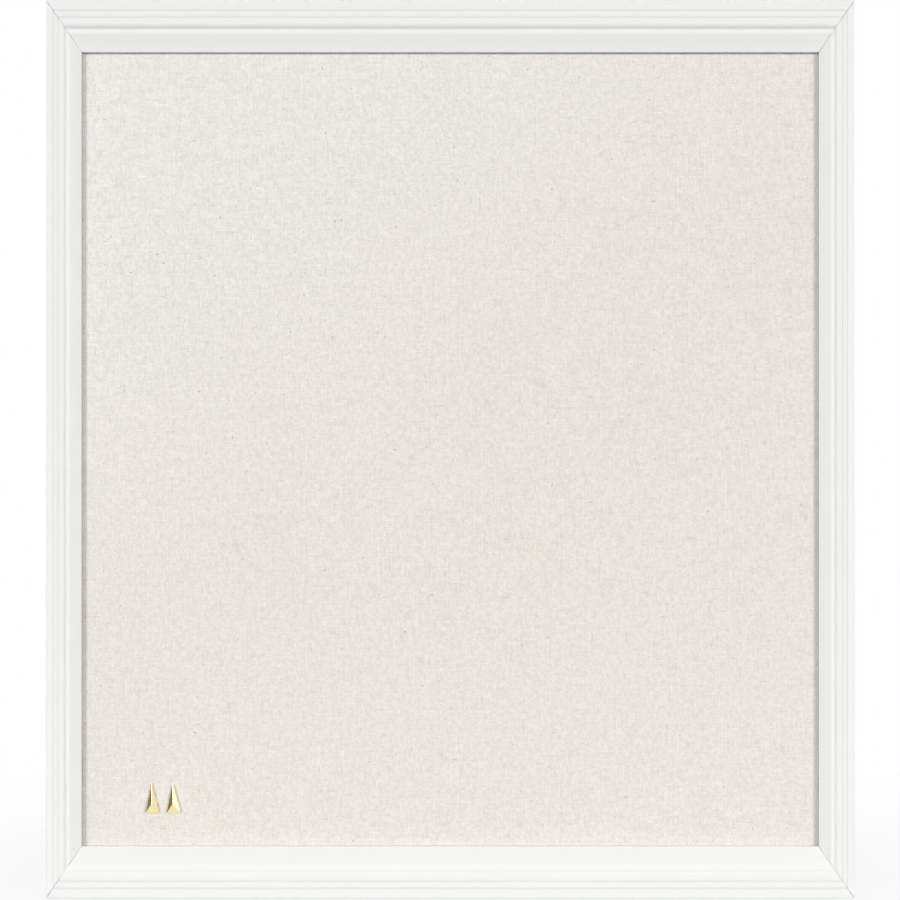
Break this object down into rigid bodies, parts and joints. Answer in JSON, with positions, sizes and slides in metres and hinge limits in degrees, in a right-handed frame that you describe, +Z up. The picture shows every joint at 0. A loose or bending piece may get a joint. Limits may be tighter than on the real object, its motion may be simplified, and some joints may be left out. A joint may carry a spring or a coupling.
{
  "type": "bulletin board",
  "caption": "Wall-hung bulletin board: mitred white moulding round a linen-covered pin board, with hinged hanging rings on the back and faceted gold push pins.",
  "frame": {"origin": "on the wall plane, midway between the two hooks that the raised hanging rings rest on", "axes": "+X to the right seen from the front, +Y from the front to the wall, +Z up"},
  "size_m": [0.4572, 0.0278, 0.508],
  "materials": {
    "white_paint": "satin",
    "linen": "matte",
    "softboard": "matte",
    "hardboard": "matte",
    "steel": "satin",
    "rubber": "matte",
    "gold": "polished"
  },
  "bodies": {
    "board": {"top_rail": "white_paint", "right_stile": "white_paint", "bottom_rail": "white_paint", "left_stile": "white_paint", "linen_cover": "linen", "pin_board": "softboard", "backing_board": "hardboard", "framers_point_top_1": "steel", "framers_point_top_2": "steel", "framers_point_top_3": "steel", "framers_point_right_1": "steel", "framers_point_right_2": "steel", "framers_point_right_3": "steel", "framers_point_bottom_1": "steel", "framers_point_bottom_2": "steel", "framers_point_bottom_3": "steel", "framers_point_left_1": "steel", "framers_point_left_2": "steel", "framers_point_left_3": "steel", "linen_staple_top_1": "steel", "linen_staple_top_2": "steel", "linen_staple_top_3": "steel", "linen_staple_right_1": "steel", "linen_staple_right_2": "steel", "linen_staple_right_3": "steel", "linen_staple_bottom_1": "steel", "linen_staple_bottom_2": "steel", "linen_staple_bottom_3": "steel", "linen_staple_left_1": "steel", "linen_staple_left_2": "steel", "linen_staple_left_3": "steel", "v_nail_top_left_outer": "steel", "v_nail_top_left_inner": "steel", "v_nail_bottom_left_outer": "steel", "v_nail_bottom_left_inner": "steel", "v_nail_top_right_outer": "steel", "v_nail_top_right_inner": "steel", "v_nail_bottom_right_outer": "steel", "v_nail_bottom_right_inner": "steel", "left_hanger_strap": "steel", "right_hanger_strap": "steel", "left_hanger_screw": "steel", "right_hanger_screw": "steel", "bumper_top_left": "rubber", "bumper_bottom_left": "rubber", "bumper_top_right": "rubber", "bumper_bottom_right": "rubber"},
    "left_ring": {"left_hanger_ring": "steel"},
    "right_ring": {"right_hanger_ring": "steel"},
    "left_pin": {"left_pin_stud": "gold", "left_pin_needle": "steel"},
    "right_pin": {"right_pin_stud": "gold", "right_pin_needle": "steel"}
  },
  "joints": [
    {"name": "left_ring_swing", "type": "hinge", "parent": "board", "child": "left_ring", "pos_m": [-0.22132, -0.00295, -0.0086], "axis": [1, 0, 0], "range_deg": [0, 180]},
    {"name": "right_ring_swing", "type": "hinge", "parent": "board", "child": "right_ring", "pos_m": [0.22132, -0.00295, -0.0086], "axis": [1, 0, 0], "range_deg": [0, 180]},
    {"name": "left_pin_pull", "type": "slide", "parent": "board", "child": "left_pin", "axis": [0, -1, 0], "range_m": [0, 0.03]},
    {"name": "right_pin_pull", "type": "slide", "parent": "board", "child": "right_pin", "axis": [0, -1, 0], "range_m": [0, 0.03]}
  ]
}
